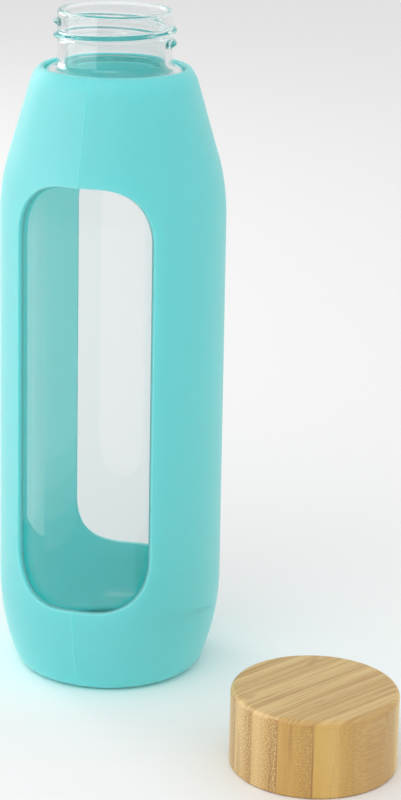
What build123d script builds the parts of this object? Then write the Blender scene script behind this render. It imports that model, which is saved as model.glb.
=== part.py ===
from build123d import *
import os
from math import atan2, cos, degrees, radians, sin, sqrt, tan

# Glass water bottle in a silicone sleeve, with its bamboo screw lid off and standing beside it.
# Millimetres. Origin at the centre of the sleeve's underside, +Z up the bottle's axis.
# The sleeve's two windows face -Y and +Y, and its mould parting line lies in the plane x = 0.

# Outer outline of the sleeve, from the foot to the lip
foot_corner = 5.0             # radius of the corner between the underside and the heel
heel_curve = 82.0             # radius of the long curve of the heel
heel_z = 32.0                 # height where the heel curve runs out into the body
heel_radius = 37.5            # body radius at the heel
shoulder_z = 156.0            # height where the shoulder begins
shoulder_radius = 37.0        # body radius at the shoulder
shoulder_curve = 73.0         # radius of the blend from body to cone
cone_angle = 16.3             # half angle of the shoulder's cone, degrees
cone_top_z = 200.2            # height where the cone turns in to the lip
top_curve = 10.0              # radius of the turn at the top of the cone
lip_radius = 23.7             # radius of the sleeve's top opening

sleeve_wall = 2.0
sleeve_gap = 0.1              # air between the sleeve and the glass
lip_round = 0.5

# Windows: an outline on a plane that far from the axis, opened out radially
window_plane = 30.0
window_half_angle = 38.0      # degrees either side of the window's middle
front_window_bottom_z = 30.0
back_window_bottom_z = 28.4
window_top_z = 171.7
window_corner = 18.5
window_reach = 1.5            # the outline is this much wider at window_reach times window_plane

# Glass
glass_wall = 2.2
glass_inset = sleeve_wall + sleeve_gap
floor_thickness = 5.0
floor_corner = 8.0
punt_radius = 20.0            # shallow hollow under the glass base
punt_depth = 1.6
shoulder_turn = 66.0          # direction of the glass shoulder where it leaves the top curve, degrees
neck_fillet = 2.0
neck_radius = 18.5
rim_z = 223.1
rim_round = 1.0

# Thread: a rounded bead on the neck and a lower rib in the liner, half a pitch apart when closed
thread_pitch = 4.2
thread_start_angle = -2.7     # where the bead begins, degrees from +X
thread_turn = 570.0           # degrees of bead
thread_start_z = 212.2
bead_height = 1.3
bead_half_width = 1.0
bead_tip = 0.8                # half width near the bead's crest
thread_root = 0.5             # how far a thread is sunk in its wall
rib_height = 1.3
rib_half_width = 0.75
rib_tip = 0.45
rib_turn = 450.0

# Lid
lid_x, lid_y = 86.1, -60.5    # where the lid stands beside the bottle
lid_radius = 26.4
lid_height = 25.3
lid_top_round = 2.0
lid_bottom_round = 0.6
cavity_radius = 22.0
cavity_depth = 18.8
grain_angle = 58.8            # direction of the bamboo's fibres, degrees from +X
strip_width = 9.7
first_joint = -18.1           # the first glue line's distance from the lid's middle
joint_count = 5
liner_radius = 21.95
liner_wall = 1.55
liner_plate = 1.6
seal_inner = 15.7
seal_outer = 20.2
seal_thickness = 2.0
seal_round = 0.4
seat_gap = 0.05               # clearance above the seal and the liner
liner_recess = 0.3            # the liner's skirt stops this far above the bamboo's foot

seal_z = cavity_depth - liner_plate - seal_thickness - 2 * seat_gap
closed_z = rim_z - seal_z     # height of the lid's underside on a closed bottle


def on_circle(centre, radius, angle):
    """The point of a circle in the profile plane, with angle in degrees from the outward direction."""
    return (centre[0] + radius * cos(radians(angle)), centre[1] + radius * sin(radians(angle)))


def arc(centre, radius, start, end):
    """An arc in the profile plane between two angles in degrees."""
    middle = (start + end) / 2
    return ThreePointArc(*(on_circle(centre, radius, a) for a in (start, middle, end)))


heel_centre = (heel_radius - heel_curve, heel_z)
blend_centre = (shoulder_radius - shoulder_curve, shoulder_z)
cone_foot = on_circle(blend_centre, shoulder_curve, cone_angle)
cone_top = (cone_foot[0] - (cone_top_z - cone_foot[1]) * tan(radians(cone_angle)), cone_top_z)
top_centre = on_circle(cone_top, -top_curve, cone_angle)


def corner_centre(corner, floor_z, inset):
    """Centre of a corner of this radius between a level floor and the heel curve set in by inset."""
    reach = heel_curve - inset - corner
    drop = heel_z - floor_z - corner
    return (heel_centre[0] + sqrt(reach**2 - drop**2), floor_z + corner)


def wall_outline(inset, floor_z, corner, turn_end):
    """Outline set in from the sleeve's outer face, from the axis along the floor and up to the top curve."""
    foot = corner_centre(corner, floor_z, inset)
    meeting = degrees(atan2(foot[1] - heel_centre[1], foot[0] - heel_centre[0]))
    body_foot = (heel_radius - inset, heel_z)
    body_top = (shoulder_radius - inset, shoulder_z)
    edges = [
        Line((0, floor_z), (foot[0], floor_z)),
        arc(foot, corner, -90, meeting),
        arc(heel_centre, heel_curve - inset, meeting, 0),
        Line(body_foot, body_top),
        arc(blend_centre, shoulder_curve - inset, 0, cone_angle),
        Line(on_circle(blend_centre, shoulder_curve - inset, cone_angle),
             on_circle(top_centre, top_curve - inset, cone_angle)),
        arc(top_centre, top_curve - inset, cone_angle, turn_end),
    ]
    return edges


def turned(edges):
    """Solid turned about Z from a closed profile drawn as (radius, height)."""
    profile = Plane.XZ * make_face(edges)
    return revolve(profile, Axis.Z, 360)


def upright(radius, height):
    """Cylinder standing on z = 0."""
    return Cylinder(radius, height, align=(Align.CENTER, Align.CENTER, Align.MIN))


def lip_angle(inset):
    """Angle on the top curve where the sleeve's opening cuts it."""
    return degrees(atan2(sqrt((top_curve - inset)**2 - (lip_radius - top_centre[0])**2),
                         lip_radius - top_centre[0]))


def thread(radius, outward, height, half_width, tip, start_angle, turn, start_z):
    """A rounded helical ridge on a cylinder, standing out (1) or in (-1) from it."""
    path = Helix(thread_pitch, thread_pitch * turn / 360, radius)
    root = -outward * thread_root
    brow = outward * height * 0.6
    section = make_face([
        Line((root, -half_width), (root, half_width)),
        Spline((root, half_width), (brow, tip), (outward * height, 0), (brow, -tip), (root, -half_width)),
    ])
    start = Plane(origin=path @ 0, x_dir=(1, 0, 0), z_dir=path % 0)
    ridge = sweep(start * section, path, is_frenet=True)
    return Pos(0, 0, start_z) * Rot(0, 0, start_angle) * ridge


def glass_neck():
    """Outline of the neck and rim, outer face first, between the two faces of the glass shoulder."""
    lean = radians(shoulder_turn)
    outer_end = on_circle(top_centre, top_curve - glass_inset, shoulder_turn)
    inner_end = on_circle(top_centre, top_curve - glass_inset - glass_wall, shoulder_turn)
    run = (outer_end[0] - neck_radius - neck_fillet * (1 - cos(lean))) / sin(lean)
    ledge_end = (outer_end[0] - run * sin(lean), outer_end[1] + run * cos(lean))
    turn_centre = on_circle(ledge_end, neck_fillet, shoulder_turn)
    inner_turn = neck_fillet + glass_wall
    bore = neck_radius - glass_wall
    rim = rim_z - rim_round
    return [
        Line(outer_end, ledge_end),
        arc(turn_centre, neck_fillet, shoulder_turn + 180, 180),
        Line((neck_radius, turn_centre[1]), (neck_radius, rim)),
        arc((neck_radius - rim_round, rim), rim_round, 0, 90),
        Line((neck_radius - rim_round, rim_z), (bore + rim_round, rim_z)),
        arc((bore + rim_round, rim), rim_round, 90, 180),
        Line((bore, rim), (bore, turn_centre[1])),
        arc(turn_centre, inner_turn, 180, shoulder_turn + 180),
        Line(on_circle(turn_centre, -inner_turn, shoulder_turn), inner_end),
    ]


def glass_bottle():
    base_z = glass_inset
    floor_z = base_z + floor_thickness
    outside = wall_outline(glass_inset, base_z, foot_corner - glass_inset, shoulder_turn)
    inside = wall_outline(glass_inset + glass_wall, floor_z, floor_corner, shoulder_turn)
    bottle = turned(outside + glass_neck() + inside + [Line((0, base_z), (0, floor_z))])
    punt_ball = (punt_radius**2 + punt_depth**2) / (2 * punt_depth)
    bottle -= Pos(0, 0, base_z + punt_depth - punt_ball) * Sphere(punt_ball)
    bead = thread(neck_radius, 1, bead_height, bead_half_width, bead_tip,
                  thread_start_angle, thread_turn, thread_start_z)
    return bottle + bead


def window_cutter(bottom_z):
    """Block that opens a window on the -Y side, with radial side walls and level top and bottom."""
    half = window_plane * tan(radians(window_half_angle))
    round_x = half - window_corner
    high = window_top_z - window_corner
    low = bottom_z + window_corner
    outline = make_face([
        Line((-half, low), (-half, high)),
        arc((-round_x, high), window_corner, 180, 90),
        Line((-round_x, window_top_z), (round_x, window_top_z)),
        arc((round_x, high), window_corner, 90, 0),
        Line((half, high), (half, low)),
        arc((round_x, low), window_corner, 0, -90),
        Line((round_x, bottom_z), (-round_x, bottom_z)),
        arc((-round_x, low), window_corner, 270, 180),
    ])
    near = Plane(origin=(0, -window_plane, 0), x_dir=(1, 0, 0), z_dir=(0, -1, 0)) * outline
    wide = scale(outline, by=(window_reach, 1, 1))
    far = Plane(origin=(0, -window_plane * window_reach, 0), x_dir=(1, 0, 0), z_dir=(0, -1, 0)) * wide
    return loft([near, far], ruled=True)


def silicone_sleeve():
    outer_end = lip_angle(0)
    inner_end = lip_angle(sleeve_wall)
    outside = wall_outline(0, 0, foot_corner, outer_end)
    inside = wall_outline(sleeve_wall, sleeve_wall, foot_corner - sleeve_wall, inner_end)
    lip = Line(on_circle(top_centre, top_curve, outer_end),
               on_circle(top_centre, top_curve - sleeve_wall, inner_end))
    axis = Line((0, 0), (0, sleeve_wall))
    sleeve = turned(outside + inside + [lip, axis])
    lip_edges = sleeve.edges().filter_by(GeomType.CIRCLE).sort_by(Axis.Z)[-2:]
    sleeve = fillet(lip_edges, lip_round)
    sleeve -= window_cutter(front_window_bottom_z)
    return sleeve - Rot(0, 0, 180) * window_cutter(back_window_bottom_z)


def bamboo_block():
    """The whole lid block before it is parted into strips, turned and bored out from below."""
    body = upright(lid_radius, lid_height)
    rims = body.edges().filter_by(GeomType.CIRCLE).sort_by(Axis.Z)
    body = fillet(rims[-1], lid_top_round)
    body = fillet(body.edges().filter_by(GeomType.CIRCLE).sort_by(Axis.Z)[0], lid_bottom_round)
    return body - upright(cavity_radius, cavity_depth)


def bamboo_strips():
    """The block parted along its upright glue joints, one solid per strip."""
    joints = [first_joint + n * strip_width for n in range(joint_count)]
    bounds = [-lid_radius] + joints + [lid_radius]
    block = bamboo_block()
    strips = []
    for low, high in zip(bounds, bounds[1:]):
        slab = Pos(0, (low + high) / 2, lid_height / 2) * Box(3 * lid_radius, high - low, 2 * lid_height)
        strips.append(block & (Rot(0, 0, grain_angle) * slab))
    return strips


def lid_liner():
    """Threaded plastic cup glued into the bamboo, open below."""
    inner_radius = liner_radius - liner_wall
    height = cavity_depth - seat_gap - liner_recess
    cup = Pos(0, 0, liner_recess) * upright(liner_radius, height)
    cup -= upright(inner_radius, liner_recess + height - liner_plate)
    start_z = thread_start_z - thread_pitch / 2 - closed_z
    rib = thread(inner_radius, -1, rib_height, rib_half_width, rib_tip, thread_start_angle, rib_turn, start_z)
    return cup + rib


def seal_ring():
    """Flat silicone gasket under the liner's plate."""
    ring = upright(seal_outer, seal_thickness) - upright(seal_inner, seal_thickness)
    return Pos(0, 0, seal_z) * fillet(ring.edges().filter_by(GeomType.CIRCLE), seal_round)


def build():
    """All nodes by name, each where it lies with the lid off."""
    beside = Pos(lid_x, lid_y, 0)
    nodes = {
        "glass_bottle": glass_bottle(),
        "silicone_sleeve": silicone_sleeve(),
        "lid_thread_liner": beside * lid_liner(),
        "lid_seal_ring": beside * seal_ring(),
    }
    for number, strip in enumerate(bamboo_strips(), 1):
        nodes[f"bamboo_strip_{number}"] = beside * strip
    return nodes


os.makedirs("parts", exist_ok=True)
for name, shape in build().items():
    export_step(shape, f"parts/{name}.step")
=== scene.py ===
import math

import bmesh
import bpy
import numpy as np
from mathutils import Matrix, Vector


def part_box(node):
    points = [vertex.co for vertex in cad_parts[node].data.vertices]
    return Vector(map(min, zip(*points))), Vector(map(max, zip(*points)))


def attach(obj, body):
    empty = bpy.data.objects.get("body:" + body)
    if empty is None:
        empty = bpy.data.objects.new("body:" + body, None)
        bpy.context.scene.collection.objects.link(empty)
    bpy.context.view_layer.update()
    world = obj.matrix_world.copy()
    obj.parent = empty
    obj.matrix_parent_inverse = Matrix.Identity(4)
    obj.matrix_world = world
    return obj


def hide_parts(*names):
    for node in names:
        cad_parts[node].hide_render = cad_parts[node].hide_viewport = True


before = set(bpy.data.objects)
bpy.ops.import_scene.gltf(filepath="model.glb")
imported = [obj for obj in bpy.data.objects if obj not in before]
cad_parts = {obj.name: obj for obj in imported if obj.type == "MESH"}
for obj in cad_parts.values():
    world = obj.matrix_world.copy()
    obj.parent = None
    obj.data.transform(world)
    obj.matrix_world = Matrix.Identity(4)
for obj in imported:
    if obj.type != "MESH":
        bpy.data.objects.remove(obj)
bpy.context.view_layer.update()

# Glass water bottle with a silicone sleeve and a bamboo lid. Metres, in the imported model's frame.

# The sleeve's outer outline, from the foot to the lip
FOOT_CORNER = 0.005
HEEL_CURVE = 0.082
HEEL_Z = 0.032
HEEL_RADIUS = 0.0375
SHOULDER_Z = 0.156
SHOULDER_RADIUS = 0.037
SHOULDER_CURVE = 0.073
CONE_ANGLE = math.radians(16.3)
CONE_TOP_Z = 0.2002
TOP_CURVE = 0.010
LIP_RADIUS = 0.0237
SLEEVE_WALL = 0.00215     # to 0.05 mm inside the glass's face, because silicone clings to glass
MEAN_RADIUS = (HEEL_RADIUS + SHOULDER_RADIUS) / 2

# The windows, drawn on a plane this far from the axis and opened out radially
WINDOW_PLANE = 0.030
WINDOW_HALF = WINDOW_PLANE * math.tan(math.radians(38))
WINDOW_BOTTOM = 0.0300
BACK_WINDOW_BOTTOM = 0.0284
WINDOW_TOP = 0.1717
WINDOW_CORNER = 0.0185
LIP_WIDTH = 0.00025
LIP_DROP = 0.00025
SHARP_EDGE = 0.00002      # bevel of the window's inner edge, on the glass

# The moulded parting line through the windows' middles
SEAM_HEIGHT = 0.00030
SEAM_WIDTH = 0.00020
SEAM_FADE_Z = (0.003, 0.009)
SEAM_DRIFT_Z = (0.02, 0.19)
SEAM_DRIFT = (-0.00135, -0.00075)
SEAM_DRIFT_WIDTH = 0.012

# Glass
GLASS_INSET = 0.0021
GLASS_WALL = 0.0022
FLOOR_THICKNESS = 0.005
FLOOR_CORNER = 0.008
PUNT_RADIUS = 0.020
PUNT_DEPTH = 0.0016
SHOULDER_TURN = math.radians(66)
NECK_FILLET = 0.002
NECK_RADIUS = 0.0185
RIM_ROUND = 0.00105
THREAD_PITCH = 0.0042
THREAD_START = math.radians(-2.7)
THREAD_TURN = math.radians(570)
THREAD_Z = 0.2122
BEAD_HEIGHT = 0.0013
BEAD_HALF_WIDTH = 0.0009
BEAD_FULLNESS = 2.6       # a larger exponent gives the bead a flatter crest and steeper flanks
BEAD_FADE = math.radians(14)

# Lid
GRAIN_ANGLE = math.radians(58.8)
STRIP_WIDTH = 0.0097
FIRST_JOINT = -0.0181

rim_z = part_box("glass_bottle")[1].z
liner_low, liner_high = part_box("lid_thread_liner")
lid_centre = (liner_low + liner_high) / 2
lid_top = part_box("bamboo_strip_3")[1].z


# ---------------------------------------------------------------- outlines

SAME_POINT = 1e-7
CORNER_STEPS = 8
TOP_STEP = 0.0008


def on_circle(centre, radius, angle):
    return np.array([centre[0] + radius * math.cos(angle), centre[1] + radius * math.sin(angle)])


def arc_points(centre, radius, start, end, step):
    """Points of an arc, about step apart, with both ends."""
    count = max(3, int(abs(end - start) * abs(radius) / step) + 2)
    return [on_circle(centre, radius, a) for a in np.linspace(start, end, count)]


def line_points(a, b, step):
    """Points of a straight line, about step apart, with both ends."""
    count = max(2, int(math.dist(a, b) / step) + 2)
    return [np.array(a) + (np.array(b) - np.array(a)) * t for t in np.linspace(0, 1, count)]


def joined(pieces):
    """One list of points from several stretches, without the repeated ends."""
    points = []
    for piece in pieces:
        for p in piece:
            if not points or math.dist(points[-1], p) > SAME_POINT:
                points.append(p)
    return points


def run_along(points):
    """Distance along a row of points, from the first one to each."""
    return np.concatenate([[0], np.cumsum(np.hypot(*np.diff(points, axis=0).T))])


heel_centre = (HEEL_RADIUS - HEEL_CURVE, HEEL_Z)
blend_centre = (SHOULDER_RADIUS - SHOULDER_CURVE, SHOULDER_Z)
cone_foot = on_circle(blend_centre, SHOULDER_CURVE, CONE_ANGLE)
cone_top = (cone_foot[0] - (CONE_TOP_Z - cone_foot[1]) * math.tan(CONE_ANGLE), CONE_TOP_Z)
top_centre = on_circle(cone_top, -TOP_CURVE, CONE_ANGLE)


def wall_outline(inset, floor_z, corner, turn_end, step):
    """Outline set in from the sleeve's outer face, from the floor's edge to an angle on the top curve."""
    reach = HEEL_CURVE - inset - corner
    drop = HEEL_Z - floor_z - corner
    foot = (heel_centre[0] + math.sqrt(reach**2 - drop**2), floor_z + corner)
    meeting = math.atan2(foot[1] - heel_centre[1], foot[0] - heel_centre[0])
    return joined([
        arc_points(foot, corner, -math.pi / 2, meeting, min(step, corner / CORNER_STEPS)),
        arc_points(heel_centre, HEEL_CURVE - inset, meeting, 0, step),
        line_points((HEEL_RADIUS - inset, HEEL_Z), (SHOULDER_RADIUS - inset, SHOULDER_Z), step),
        arc_points(blend_centre, SHOULDER_CURVE - inset, 0, CONE_ANGLE, step),
        line_points(on_circle(blend_centre, SHOULDER_CURVE - inset, CONE_ANGLE),
                    on_circle(top_centre, TOP_CURVE - inset, CONE_ANGLE), step),
        arc_points(top_centre, TOP_CURVE - inset, CONE_ANGLE, turn_end, min(step, TOP_STEP)),
    ])


def new_mesh(name, points, faces):
    mesh = bpy.data.meshes.new(name)
    mesh.from_pydata([tuple(p) for p in points], [], faces)
    bm = bmesh.new()
    bm.from_mesh(mesh)
    bmesh.ops.remove_doubles(bm, verts=bm.verts, dist=SAME_POINT)
    bmesh.ops.recalc_face_normals(bm, faces=bm.faces)
    bm.to_mesh(mesh)
    bm.free()
    mesh.polygons.foreach_set("use_smooth", [True] * len(mesh.polygons))
    obj = bpy.data.objects.new(name, mesh)
    bpy.context.scene.collection.objects.link(obj)
    return obj


# ---------------------------------------------------------------- sleeve
# A sheet laid out over angle and height, thickened between its outer and inner faces.
# Round each window lies a rectangular field; plain bands close the sleeve above and below the fields.

OUTLINE_STEP = 0.0006
WINDOW_CORNER_STEP = 0.0015
WINDOW_SIDE_STEPS = 35.5  # not a whole number, so that rounding gives both windows as many points
SEAM_STEPS = np.array([0, 0.00009, 0.00018, 0.00027, 0.0004, 0.0006, 0.0009])
FIELD_LOW = 0.0235
FIELD_HIGH = 0.1795
FIELD_TURN = 0.72         # share of a window's half width where its edge turns from level to upright
FIELD_ROWS = 14
ROW_BUNCHING = 1.3
LIP_STEPS = 9
WALL_ROW_INSET = 0.0001
TOP_ROWS = 20
FOOT_ROWS = 26
CLOSING_SHARES = (0.8, 0.6, 0.4, 0.2, 0.0)

quarter = MEAN_RADIUS * math.pi / 2
lip_end = math.acos((LIP_RADIUS - top_centre[0]) / TOP_CURVE)
outer_points = np.array(wall_outline(0, 0, FOOT_CORNER, lip_end, OUTLINE_STEP))
outer_run = run_along(outer_points)
tangents = np.gradient(outer_points, outer_run, axis=0)
tangents /= np.hypot(*tangents.T)[:, None]
outer_normals = np.stack([tangents[:, 1], -tangents[:, 0]], 1)


def seam_rise(across, z):
    """Height of the parting line, at a distance along the surface from it; it dies out at the foot."""
    return SEAM_HEIGHT * np.interp(z, SEAM_FADE_Z, (0, 1)) * np.exp(-(across / SEAM_WIDTH) ** 2)


def seam_shift(across, z):
    """The parting line wanders sideways from the windows' middle, more towards the foot."""
    return np.interp(z, SEAM_DRIFT_Z, SEAM_DRIFT) * math.exp(-((across / SEAM_DRIFT_WIDTH) ** 2))


def run_at_height(z):
    return np.interp(z, outer_points[:, 1], outer_run)


def on_wall(across, run, depth, side):
    """A point of the sleeve, from its distance round from a window's middle, its run up the outline and
    its depth below the outer face; side 0 is the front and side 1 the back."""
    r = np.interp(run, outer_run, outer_points[:, 0])
    z = np.interp(run, outer_run, outer_points[:, 1])
    nr = np.interp(run, outer_run, outer_normals[:, 0])
    nz = np.interp(run, outer_run, outer_normals[:, 1])
    fade = np.clip(1 - depth / SLEEVE_WALL * 2, 0, 1)
    lift = seam_rise(across, z) * fade - depth
    middle = math.pi / 2 if side else -math.pi / 2
    angle = (across + seam_shift(across, z)) / MEAN_RADIUS + middle
    reach = r + nr * lift
    return Vector((reach * math.cos(angle), reach * math.sin(angle), z + nz * lift))


def window_edge(window_bottom):
    """Half of a window's edge, top middle to bottom middle, as (distance round, height)."""
    round_x = WINDOW_HALF - WINDOW_CORNER
    high = WINDOW_TOP - WINDOW_CORNER
    low = window_bottom + WINDOW_CORNER
    points = joined([
        [(x, WINDOW_TOP) for x in SEAM_STEPS],
        arc_points((round_x, high), WINDOW_CORNER, math.pi / 2, 0, WINDOW_CORNER_STEP),
        line_points((WINDOW_HALF, high), (WINDOW_HALF, low), (high - low) / WINDOW_SIDE_STEPS),
        arc_points((round_x, low), WINDOW_CORNER, 0, -math.pi / 2, WINDOW_CORNER_STEP),
        [(x, window_bottom) for x in SEAM_STEPS[::-1]],
    ])
    return np.array([(math.atan(x / WINDOW_PLANE) * MEAN_RADIUS, z) for x, z in points])


def field_edge(edge):
    """Half the rectangle round a window, point for point with half its edge, and where its corners are."""
    run = run_along(edge)
    wide = edge[:, 0] > FIELD_TURN * edge[:, 0].max()
    top_end = int(np.argmax(wide))
    bottom_start = len(edge) - 1 - int(np.argmax(wide[::-1]))
    out = np.zeros_like(edge)
    for i, across in enumerate(edge[:, 0]):
        if top_end < i < bottom_start:
            t = (run[i] - run[top_end]) / (run[bottom_start] - run[top_end])
            out[i] = (quarter, FIELD_HIGH + (FIELD_LOW - FIELD_HIGH) * t)
        else:
            corner = top_end if i <= top_end else bottom_start
            t = across / edge[corner, 0]
            out[i] = (across + (quarter - edge[corner, 0]) * t**3, FIELD_HIGH if i <= top_end else FIELD_LOW)
    return out, top_end, bottom_start


def lip_section():
    """Steps round a window's lip from the outer face to the inner, as (distance from the edge, depth)."""
    turn = np.linspace(0, math.pi / 2, LIP_STEPS)
    outer = [(LIP_WIDTH * (1 - math.sin(a)), LIP_DROP * (1 - math.cos(a))) for a in turn]
    wall = [(0, LIP_DROP + WALL_ROW_INSET), (0, SLEEVE_WALL / 2), (0, SLEEVE_WALL - WALL_ROW_INSET)]
    inner = [(0, SLEEVE_WALL - SHARP_EDGE), (SHARP_EDGE, SLEEVE_WALL)]
    return outer + wall + inner


def window_rings(edge, out):
    """Rings of points over one half window field, from the outer face round the lip to the inner face."""
    tangent = np.gradient(edge, axis=0)
    tangent[0] = (1, 0)
    tangent[-1] = (-1, 0)
    tangent /= np.hypot(*tangent.T)[:, None]
    away = np.stack([-tangent[:, 1], tangent[:, 0]], 1)
    section = lip_section()
    spread = np.linspace(0, 1, FIELD_ROWS + 1)[1:]
    outer_start = edge + away * section[0][0]
    inner_start = edge + away * section[-1][0]
    rings = [(outer_start + (out - outer_start) * t**ROW_BUNCHING, 0.0) for t in spread[::-1]]
    rings += [(edge + away * width, depth) for width, depth in section]
    rings += [(inner_start + (out - inner_start) * t**ROW_BUNCHING, SLEEVE_WALL) for t in spread]
    return rings


def add_grid(faces, base, count, width):
    """Faces between count rows of points, each width long, that start at the point base."""
    for row in range(count - 1):
        for i in range(width - 1):
            a = base + row * width + i
            faces.append((a, a + 1, a + width + 1, a + width))


def add_window_field(points, faces, rings, side):
    """Both halves of the field round one window, with its lip."""
    for mirror in (1, -1):
        base = len(points)
        for ring, depth in rings:
            for across, z in ring:
                points.append(on_wall(mirror * across, run_at_height(z), depth, side))
        add_grid(faces, base, len(rings), len(rings[0][0]))


def add_band(points, faces, columns, rows, side, close_z=None):
    """A band of the sleeve over columns, given as distances round, and rows, given as (run, depth).
    With close_z it goes on level to the axis at that height."""
    base = len(points)
    width = len(columns)
    for run, depth in rows:
        for across in columns:
            points.append(on_wall(across, run, depth, side))
    count = len(rows)
    if close_z is not None:
        last = points[-width:]
        for share in CLOSING_SHARES:
            points.extend(Vector((p.x * share, p.y * share, close_z)) for p in last)
        count += len(CLOSING_SHARES)
    add_grid(faces, base, count, width)


def top_rows():
    """Rows from the window fields up the outer face, round the sleeve's lip and down the inner face."""
    lip_r = SLEEVE_WALL / 2
    lip_run = outer_run[-1] - lip_r
    up = np.linspace(run_at_height(FIELD_HIGH), lip_run, TOP_ROWS)
    turn = np.linspace(0, math.pi, LIP_STEPS)[1:-1]
    rows = [(run, 0.0) for run in up]
    rows += [(lip_run + lip_r * math.sin(a), lip_r * (1 - math.cos(a))) for a in turn]
    rows += [(run, SLEEVE_WALL) for run in up[::-1]]
    return rows


def build_sleeve():
    edges = (window_edge(WINDOW_BOTTOM), window_edge(BACK_WINDOW_BOTTOM))
    out, top_end, bottom_start = field_edge(edges[0])
    top_columns = np.concatenate([-out[:top_end + 1, 0][::-1], out[1:top_end + 1, 0]])
    foot_columns = np.concatenate([-out[bottom_start:, 0], out[bottom_start:-1, 0][::-1]])
    foot_runs = np.linspace(run_at_height(FIELD_LOW), 0, FOOT_ROWS)
    points, faces = [], []
    for side, edge in enumerate(edges):
        add_window_field(points, faces, window_rings(edge, out), side)
        add_band(points, faces, top_columns, top_rows(), side)
        for depth in (0.0, SLEEVE_WALL):
            rows = [(run, depth) for run in foot_runs]
            add_band(points, faces, foot_columns, rows, side, close_z=depth)
    sleeve = new_mesh("sleeve", points, faces)
    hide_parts("silicone_sleeve")
    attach(sleeve, "bottle")
    return sleeve


# ---------------------------------------------------------------- glass
# A turned outline with the thread raised on the neck.

BODY_STEP = 0.002
LEDGE_STEP = 0.0005
NECK_STEP = 0.0002
BORE_STEP = 0.0006
INNER_TURN_STEP = 0.0004
GLASS_SIDES = 240


def glass_outline():
    """Closed outline of the glass from the axis under the base, round the rim, to the axis on the floor."""
    base_z = GLASS_INSET
    floor_z = base_z + FLOOR_THICKNESS
    lean = SHOULDER_TURN
    outer_end = on_circle(top_centre, TOP_CURVE - GLASS_INSET, lean)
    inner_end = on_circle(top_centre, TOP_CURVE - GLASS_INSET - GLASS_WALL, lean)
    run = (outer_end[0] - NECK_RADIUS - NECK_FILLET * (1 - math.cos(lean))) / math.sin(lean)
    ledge_end = (outer_end[0] - run * math.sin(lean), outer_end[1] + run * math.cos(lean))
    turn_centre = on_circle(ledge_end, NECK_FILLET, lean)
    bore = NECK_RADIUS - GLASS_WALL
    rim = rim_z - RIM_ROUND
    punt_ball = (PUNT_RADIUS**2 + PUNT_DEPTH**2) / (2 * PUNT_DEPTH)
    punt_angle = math.asin(PUNT_RADIUS / punt_ball)
    punt_centre = (0, base_z + PUNT_DEPTH - punt_ball)
    outside = wall_outline(GLASS_INSET, base_z, FOOT_CORNER - GLASS_INSET, lean, BODY_STEP)
    inside = wall_outline(GLASS_INSET + GLASS_WALL, floor_z, FLOOR_CORNER, lean, BODY_STEP)
    return joined([
        arc_points(punt_centre, punt_ball, math.pi / 2, math.pi / 2 - punt_angle, BODY_STEP),
        outside,
        line_points(outer_end, ledge_end, LEDGE_STEP),
        arc_points(turn_centre, NECK_FILLET, lean + math.pi, math.pi, NECK_STEP),
        line_points((NECK_RADIUS, turn_centre[1]), (NECK_RADIUS, rim), NECK_STEP),
        arc_points((NECK_RADIUS - RIM_ROUND, rim), RIM_ROUND, 0, math.pi / 2, NECK_STEP),
        arc_points((bore + RIM_ROUND, rim), RIM_ROUND, math.pi / 2, math.pi, NECK_STEP),
        line_points((bore, rim), (bore, turn_centre[1]), BORE_STEP),
        arc_points(turn_centre, NECK_FILLET + GLASS_WALL, math.pi, lean + math.pi, INNER_TURN_STEP),
        line_points(on_circle(turn_centre, -NECK_FILLET - GLASS_WALL, lean), inner_end, LEDGE_STEP),
        inside[::-1],
        line_points(inside[0], (0, floor_z), BODY_STEP),
    ])


def bead_rise(angle, z):
    """Height of the thread above the neck at an angle and a height; it fades in and out at its ends."""
    rise = 0.0
    for turn in range(-1, 3):
        along = angle - THREAD_START + turn * 2 * math.pi
        if not 0 <= along <= THREAD_TURN:
            continue
        off = (z - THREAD_Z - THREAD_PITCH * along / (2 * math.pi)) / BEAD_HALF_WIDTH
        fade = min(1.0, along / BEAD_FADE, (THREAD_TURN - along) / BEAD_FADE)
        fade = fade * fade * (3 - 2 * fade)
        rise = max(rise, BEAD_HEIGHT * fade * math.exp(-abs(off) ** BEAD_FULLNESS))
    return rise


def build_glass():
    outline = glass_outline()
    points, faces = [], []
    for side in range(GLASS_SIDES):
        angle = 2 * math.pi * side / GLASS_SIDES
        for r, z in outline:
            if math.isclose(r, NECK_RADIUS, abs_tol=1e-6):
                r += bead_rise(angle, z)
            points.append((r * math.cos(angle), r * math.sin(angle), z))
    count = len(outline)
    for side in range(GLASS_SIDES):
        a = side * count
        b = (side + 1) % GLASS_SIDES * count
        faces.append((a, b + 1, a + 1))
        for i in range(1, count - 2):
            faces.append((a + i, b + i, b + i + 1, a + i + 1))
        faces.append((a + count - 2, b + count - 2, a + count - 1))
    glass = new_mesh("glass", points, faces)
    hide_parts("glass_bottle")
    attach(glass, "bottle")
    return glass


# ---------------------------------------------------------------- materials

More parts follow.
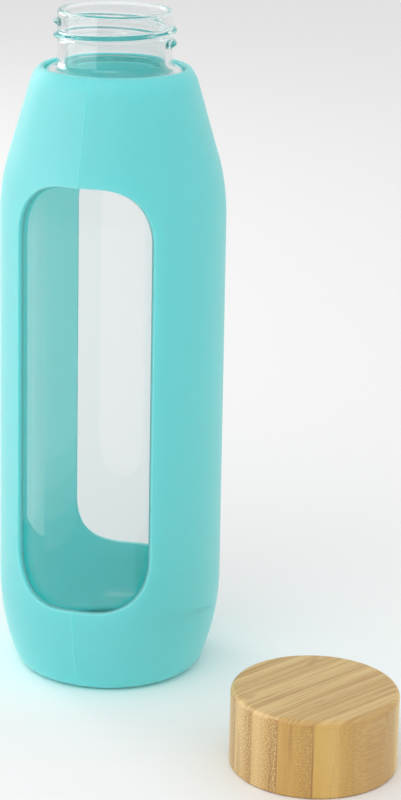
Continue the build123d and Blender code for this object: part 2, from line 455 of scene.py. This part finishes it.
class Nodes:
    """Short calls for building a material's node tree."""

    def __init__(self, name):
        self.material = bpy.data.materials.new(name)
        self.material.use_nodes = True
        self.tree = self.material.node_tree
        self.shader = self.tree.nodes["Principled BSDF"]

    def link(self, value, socket):
        if isinstance(value, bpy.types.NodeSocket):
            self.tree.links.new(value, socket)
        else:
            socket.default_value = value

    def set(self, **values):
        for name, value in values.items():
            self.link(value, self.shader.inputs[name.replace("_", " ")])

    def math(self, operation, *values):
        node = self.tree.nodes.new("ShaderNodeMath")
        node.operation = operation
        for socket, value in zip(node.inputs, values):
            self.link(value, socket)
        return node.outputs[0]

    def times(self, a, b):
        return self.math("MULTIPLY", a, b)

    def mix(self, factor, a, b):
        """Colour a, going over to colour b as factor goes from 0 to 1."""
        node = self.tree.nodes.new("ShaderNodeMix")
        node.data_type = "RGBA"
        self.link(factor, node.inputs[0])
        self.link(a, node.inputs[6])
        self.link(b, node.inputs[7])
        return node.outputs[2]

    def coordinates(self, kind):
        return self.tree.nodes.new("ShaderNodeTexCoord").outputs[kind]

    def mapped(self, vector, location=(0, 0, 0), rotation=(0, 0, 0), scale=(1, 1, 1)):
        node = self.tree.nodes.new("ShaderNodeMapping")
        self.link(vector, node.inputs["Vector"])
        node.inputs["Location"].default_value = location
        node.inputs["Rotation"].default_value = rotation
        node.inputs["Scale"].default_value = scale
        return node.outputs[0]

    def combined(self, x, y, z=0.0):
        node = self.tree.nodes.new("ShaderNodeCombineXYZ")
        for socket, value in zip(node.inputs, (x, y, z)):
            self.link(value, socket)
        return node.outputs[0]

    def split(self, vector):
        node = self.tree.nodes.new("ShaderNodeSeparateXYZ")
        self.link(vector, node.inputs[0])
        return node.outputs

    def dot(self, vector, direction):
        node = self.tree.nodes.new("ShaderNodeVectorMath")
        node.operation = "DOT_PRODUCT"
        self.link(vector, node.inputs[0])
        node.inputs[1].default_value = direction
        return node.outputs["Value"]

    def noise(self, vector, scale, detail, roughness=0.5):
        node = self.tree.nodes.new("ShaderNodeTexNoise")
        self.link(vector, node.inputs["Vector"])
        node.inputs["Scale"].default_value = scale
        node.inputs["Detail"].default_value = detail
        node.inputs["Roughness"].default_value = roughness
        return node.outputs[0]

    def dots(self, vector, scale, unevenness):
        """Distance from the nearest of many points spread over the vector's X and Y."""
        node = self.tree.nodes.new("ShaderNodeTexVoronoi")
        node.voronoi_dimensions = "2D"
        self.link(vector, node.inputs["Vector"])
        node.inputs["Scale"].default_value = scale
        node.inputs["Randomness"].default_value = unevenness
        return node.outputs["Distance"]

    def ramp(self, value, low, high, to_low=0.0, to_high=1.0, smooth=True):
        """A value between low and high carried over to between to_low and to_high, and held beyond them."""
        node = self.tree.nodes.new("ShaderNodeMapRange")
        node.interpolation_type = "SMOOTHSTEP" if smooth else "LINEAR"
        self.link(value, node.inputs["Value"])
        self.link(low, node.inputs["From Min"])
        self.link(high, node.inputs["From Max"])
        self.link(to_low, node.inputs["To Min"])
        self.link(to_high, node.inputs["To Max"])
        return node.outputs[0]

    def bump(self, height, distance, strength):
        node = self.tree.nodes.new("ShaderNodeBump")
        self.link(height, node.inputs["Height"])
        node.inputs["Distance"].default_value = distance
        node.inputs["Strength"].default_value = strength
        self.tree.links.new(node.outputs[0], self.shader.inputs["Normal"])


def dress(obj, material):
    obj.data.materials.clear()
    obj.data.materials.append(material)


def silicone_material():
    n = Nodes("silicone")
    place = n.coordinates("Object")
    cloud = n.noise(place, 35, 3)
    tone = n.mix(cloud, (0.152, 0.840, 0.830, 1), (0.168, 0.875, 0.865, 1))
    n.set(Base_Color=tone, Roughness=n.ramp(cloud, 0.3, 0.7, 0.44, 0.52), Specular_IOR_Level=0.5)
    n.set(Subsurface_Weight=1.0, Subsurface_Scale=0.010, Subsurface_Radius=(0.6, 1.0, 0.95))
    n.set(Sheen_Weight=0.26, Sheen_Roughness=0.45)
    n.bump(n.noise(place, 1500, 2), distance=0.00002, strength=0.5)
    return n.material


def glass_material():
    n = Nodes("clear_glass")
    n.set(Base_Color=(0.910, 0.935, 0.938, 1), Roughness=0.0, IOR=1.50, Transmission_Weight=1.0)
    wave = n.noise(n.coordinates("Object"), 28, 1)
    n.bump(wave, distance=0.0004, strength=0.15)
    return n.material


def moulded_material(name, dark, pale, roughness, glow, mottle, grain):
    """A moulded plastic or rubber, faintly mottled, with a fine grain; mottle and grain are per metre."""
    n = Nodes(name)
    place = n.coordinates("Object")
    cloud = n.noise(place, mottle, 2)
    n.set(Base_Color=n.mix(cloud, dark, pale), Roughness=n.ramp(cloud, 0.3, 0.7, *roughness))
    n.set(Subsurface_Weight=glow, Subsurface_Scale=0.001)
    n.bump(n.noise(place, grain, 2), distance=0.00002, strength=0.4)
    return n.material


# Bamboo colours. The strips have three tones: the strip at the front right, the one behind it, and the rest.
STRIP_PALE = ((0.700, 0.445, 0.118, 1), (0.640, 0.392, 0.106, 1), (0.780, 0.545, 0.235, 1))
STRIP_DEEP = ((0.655, 0.405, 0.100, 1), (0.592, 0.350, 0.088, 1), (0.715, 0.470, 0.175, 1))
TOP_PALE = (0.730, 0.500, 0.200, 1)
TOP_DEEP = (0.590, 0.360, 0.117, 1)
STRIP_END = (0.920, 0.665, 0.240, 1)
CROWDED = (0.520, 0.305, 0.095, 1)
DARK_FIBRE = (0.420, 0.235, 0.078, 1)
PALE_FIBRE = (0.760, 0.590, 0.330, 1)
HAIR = (0.400, 0.235, 0.080, 1)
BUNDLE = (0.370, 0.180, 0.055, 1)
CANE_NODE = (0.330, 0.165, 0.055, 1)
GLUE = (0.300, 0.150, 0.052, 1)
EDGE_SPOT = (0.470, 0.225, 0.055, 1)


class Bamboo(Nodes):
    """The lid's wood. u runs along the fibres, across runs over the strips, and z is the height."""

    def __init__(self):
        super().__init__("bamboo")
        turn = Matrix.Rotation(-GRAIN_ANGLE, 3, "Z")
        shift = -(turn @ Vector((lid_centre.x, lid_centre.y, 0)))
        self.on_lid = self.mapped(self.coordinates("Object"), location=shift, rotation=(0, 0, -GRAIN_ANGLE))
        self.u, self.across, self.z = self.split(self.on_lid)
        strip = self.math("DIVIDE", self.math("SUBTRACT", self.across, FIRST_JOINT), STRIP_WIDTH)
        self.index = self.math("FLOOR", strip)
        self.inside = self.math("SUBTRACT", strip, self.index)
        self.crowd = self.ramp(self.inside, 0.0, 0.95, 1.0, 0.0)
        facing = self.coordinates("Normal")
        self.flat = self.ramp(self.math("ABSOLUTE", self.split(facing)[2]), 0.25, 0.85)
        fibre_way = (math.cos(GRAIN_ANGLE), math.sin(GRAIN_ANGLE), 0)
        self.end_grain = self.ramp(self.math("ABSOLUTE", self.dot(facing, fibre_way)), 0.10, 0.75)

    def on_top(self, side, top):
        """A strength that changes from the lid's side to its top face."""
        return self.ramp(self.flat, 0, 1, side, top)

    def fibre(self, along, upright, wander):
        """Coordinates drawn out along the fibres, different in every strip."""
        noise = self.noise(self.mapped(self.on_lid, scale=(55, 120, 120)), 1, 2)
        waver = self.times(self.math("SUBTRACT", noise, 0.5), wander)
        height = self.math("ADD", self.times(self.z, upright), self.times(self.index, 0.37))
        return self.combined(self.times(self.u, along), self.math("ADD", self.across, waver), height)

    def by_strip(self, tones):
        """One of three tones: for the strip at the lid's front right, the one behind it, and the rest."""
        first, second, others = tones
        near = self.mix(self.ramp(self.index, -1, 0), first, second)
        return self.mix(self.ramp(self.index, 0, 1), near, others)

    def bundles(self):
        """Fibre bundles, crowded and dark on the side of each strip that was the outside of the cane."""
        x = self.math("ADD", self.across, self.times(self.u, 0.01))
        y = self.math("ADD", self.z, self.times(self.index, 0.0137))
        distance = self.dots(self.combined(x, y), 1580, 0.85)
        size = self.ramp(self.crowd, 0, 1, 0.22, 0.46, smooth=False)
        dot = self.ramp(distance, self.times(size, 0.55), self.times(size, 1.25), 1.0, 0.0)
        depth = self.times(self.ramp(self.crowd, 0, 1, 0.34, 0.80, smooth=False), self.on_top(1.0, 0.10))
        bold = self.ramp(self.index, -1, 1, 0.30, 1.0)
        return self.times(self.times(dot, depth), bold)

    def ground(self, broad):
        """The wood's colour under its markings, by strip on the side and by broad bands on the top."""
        colour = self.mix(self.ramp(broad, 0.34, 0.68), self.by_strip(STRIP_PALE), self.by_strip(STRIP_DEEP))
        colour = self.mix(self.times(self.ramp(self.u, -0.002, 0.014), 0.90), colour, STRIP_END)
        top = self.mix(self.ramp(broad, 0.38, 0.62), TOP_PALE, TOP_DEEP)
        return self.mix(self.end_grain, top, colour)

    def glue_line(self):
        """Strength of the dark glue lines, broken up along their length."""
        nearest = self.math("MINIMUM", self.inside, self.math("SUBTRACT", 1.0, self.inside))
        line = self.ramp(self.times(nearest, STRIP_WIDTH), 0.00004, 0.00030, 1.0, 0.0)
        noise = self.noise(self.mapped(self.on_lid, scale=(120, 1, 60)), 1, 1)
        return self.times(line, self.ramp(noise, 0.40, 0.62, 0.25, 0.75))

    def edge_spot(self):
        """Brown spots where the dark side of a glue line reaches the lid's upper edge."""
        high = self.ramp(self.z, lid_top - 0.0030, lid_top - 0.0012)
        near_edge = self.times(high, self.ramp(self.flat, 0.2, 1.0, 1.0, 0.0))
        return self.times(near_edge, self.ramp(self.inside, 0.0, 0.22, 0.75, 0.12))


def bamboo_material():
    n = Bamboo()
    layers = n.fibre(0.018, 0.06, 0.0011)
    broad = n.noise(layers, 300, 2)
    fine = n.noise(layers, 1500, 3, 0.6)
    hair = n.noise(n.fibre(0.02, 1.0, 0.0005), 4200, 2, 0.6)
    patch = n.noise(n.mapped(n.fibre(0.30, 0.06, 0.0015), location=(0.013, 0, 0)), 210, 2)
    bundles = n.bundles()
    markings = (
        (n.times(n.ramp(n.crowd, 0.45, 1.0), n.on_top(0.35, 0.12)), CROWDED),
        (n.times(n.ramp(fine, 0.50, 0.72), n.on_top(0.10, 0.75)), DARK_FIBRE),
        (n.times(n.ramp(fine, 0.46, 0.26), n.on_top(0.12, 0.6)), PALE_FIBRE),
        (n.times(n.ramp(hair, 0.45, 0.75), 0.22), HAIR),
        (bundles, BUNDLE),
        (n.times(n.ramp(patch, 0.64, 0.74), 0.42), CANE_NODE),
        (n.glue_line(), GLUE),
        (n.edge_spot(), EDGE_SPOT),
    )
    colour = n.ground(broad)
    for strength, tint in markings:
        colour = n.mix(strength, colour, tint)
    n.set(Base_Color=colour, Roughness=n.ramp(fine, 0.3, 0.7, 0.38, 0.52), Specular_IOR_Level=0.45)
    n.set(Coat_Weight=0.2, Coat_Roughness=0.18)
    relief = n.math("SUBTRACT", n.times(hair, 0.35), n.times(bundles, 0.8))
    n.bump(relief, distance=0.00006, strength=0.5)
    return n.material


# ---------------------------------------------------------------- studio

FLOOR_HALF = 6
FLOOR_DROP = 0.0002       # keeps the floor from touching the undersides
WORLD_STRENGTH = 0.79

# Pale cards left of the bottle: one makes a narrow bright band in the glass. The others stand one behind
# another with their lower edges in steps, so that the wider band beside it fades out downwards.
CARD_PLACE = (-0.107, -0.104)
CARD_HEADING = math.radians(34)
CARD_TOP = 0.27
SIDE_CARD_BOTTOM = 0.010
SIDE_CARD_BRIGHTNESS = 2.0
FRONT_CARD_STEPS = 4
FRONT_CARD_BOTTOM = 0.004
FRONT_CARD_RISE = 0.012
FRONT_CARD_BRIGHTNESS = 2.4
CARD_SPACING = 0.001


def studio_floor():
    corners = [(-FLOOR_HALF, -FLOOR_HALF, 0), (FLOOR_HALF, -FLOOR_HALF, 0),
               (FLOOR_HALF, FLOOR_HALF, 0), (-FLOOR_HALF, FLOOR_HALF, 0)]
    floor = new_mesh("floor", corners, [(0, 1, 2, 3)])
    floor.location.z = -FLOOR_DROP
    n = Nodes("pale_floor")
    n.set(Base_Color=(0.92, 0.92, 0.92, 1), Roughness=0.75, Specular_IOR_Level=0.1)
    dress(floor, n.material)


def lamp(name, place, aim, size, power):
    light = bpy.data.lights.new(name, "AREA")
    light.shape = "RECTANGLE"
    light.size, light.size_y = size
    light.energy = power
    obj = bpy.data.objects.new(name, light)
    obj.location = place
    obj.rotation_euler = (Vector(place) - Vector(aim)).to_track_quat("Z", "Y").to_euler()
    bpy.context.scene.collection.objects.link(obj)
    return obj


def reflector(name, along, width, bottom, brightness, back):
    """A pale card left of the bottle, which shows only as a soft reflection in the glass and silicone."""
    face = Vector((math.cos(CARD_HEADING), math.sin(CARD_HEADING), 0))
    middle = Vector((*CARD_PLACE, (bottom + CARD_TOP) / 2))
    middle += along * Vector((face.y, -face.x, 0)) - back * face
    height = CARD_TOP - bottom
    card = lamp(name, middle, middle + face, (width, height), brightness * math.pi * width * height)
    card.visible_diffuse = False
    card.visible_transmission = False
    card.visible_camera = False


def studio_light():
    world = bpy.data.worlds.new("studio")
    bpy.context.scene.world = world
    world.use_nodes = True
    background = world.node_tree.nodes["Background"]
    background.inputs["Color"].default_value = (1, 1, 1, 1)
    background.inputs["Strength"].default_value = WORLD_STRENGTH
    lamp("softbox_left", place=(-0.8, -0.5, 1.05), aim=(0, 0, 0.12), size=(0.8, 0.8), power=1.0)
    lamp("rim_left", place=(-0.95, 0.55, 0.5), aim=(0, 0, 0.12), size=(0.5, 0.7), power=3.2)
    lamp("fill_front", place=(-0.1, -1.1, 1.2), aim=(0, 0, 0.08), size=(1.2, 0.7), power=5.0)
    reflector("card_side", along=-0.0600, width=0.0910, bottom=SIDE_CARD_BOTTOM,
              brightness=SIDE_CARD_BRIGHTNESS, back=0.0)
    for step in range(FRONT_CARD_STEPS):
        bottom = FRONT_CARD_BOTTOM + FRONT_CARD_RISE * step
        reflector(f"card_front_{step + 1}", along=0.0390, width=0.1070, bottom=bottom,
                  brightness=FRONT_CARD_BRIGHTNESS / FRONT_CARD_STEPS, back=CARD_SPACING * step)


def studio_camera():
    """The photograph's view, a little from the right and from above."""
    azimuth = math.radians(17.3)
    turn = math.radians(2.208)
    pitch = math.radians(17.404)
    roll = math.radians(1.202)
    distance = 0.7723
    height = 0.3348
    data = bpy.data.cameras.new("camera")
    data.sensor_width = 36
    data.lens = 108.63
    data.clip_start = 0.01
    camera = bpy.data.objects.new("camera", data)
    place = Matrix.Translation((distance * math.sin(azimuth), -distance * math.cos(azimuth), height))
    aim = Matrix.Rotation(azimuth - turn, 4, "Z") @ Matrix.Rotation(math.pi / 2 - pitch, 4, "X")
    camera.matrix_world = place @ aim @ Matrix.Rotation(roll, 4, "Z")
    bpy.context.scene.collection.objects.link(camera)
    bpy.context.scene.camera = camera


def light_paths():
    """Enough bounces for light to pass both walls of the glass and back."""
    paths = bpy.context.scene.cycles
    paths.max_bounces = 40
    paths.transmission_bounces = 40
    paths.diffuse_bounces = 8
    paths.glossy_bounces = 24


studio_floor()
studio_light()
studio_camera()
light_paths()
bpy.context.scene.view_settings.view_transform = "Standard"

dress(build_sleeve(), silicone_material())
dress(build_glass(), glass_material())
bamboo = bamboo_material()
for name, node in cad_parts.items():
    if name.startswith("bamboo_strip"):
        dress(node, bamboo)
liner_plastic = moulded_material("liner_plastic", (0.80, 0.80, 0.77, 1), (0.86, 0.86, 0.84, 1),
                                 roughness=(0.32, 0.42), glow=0.2, mottle=260, grain=900)
seal_silicone = moulded_material("seal_silicone", (0.72, 0.76, 0.76, 1), (0.80, 0.83, 0.83, 1),
                                 roughness=(0.45, 0.55), glow=0.3, mottle=400, grain=1400)
dress(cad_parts["lid_thread_liner"], liner_plastic)
dress(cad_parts["lid_seal_ring"], seal_silicone)
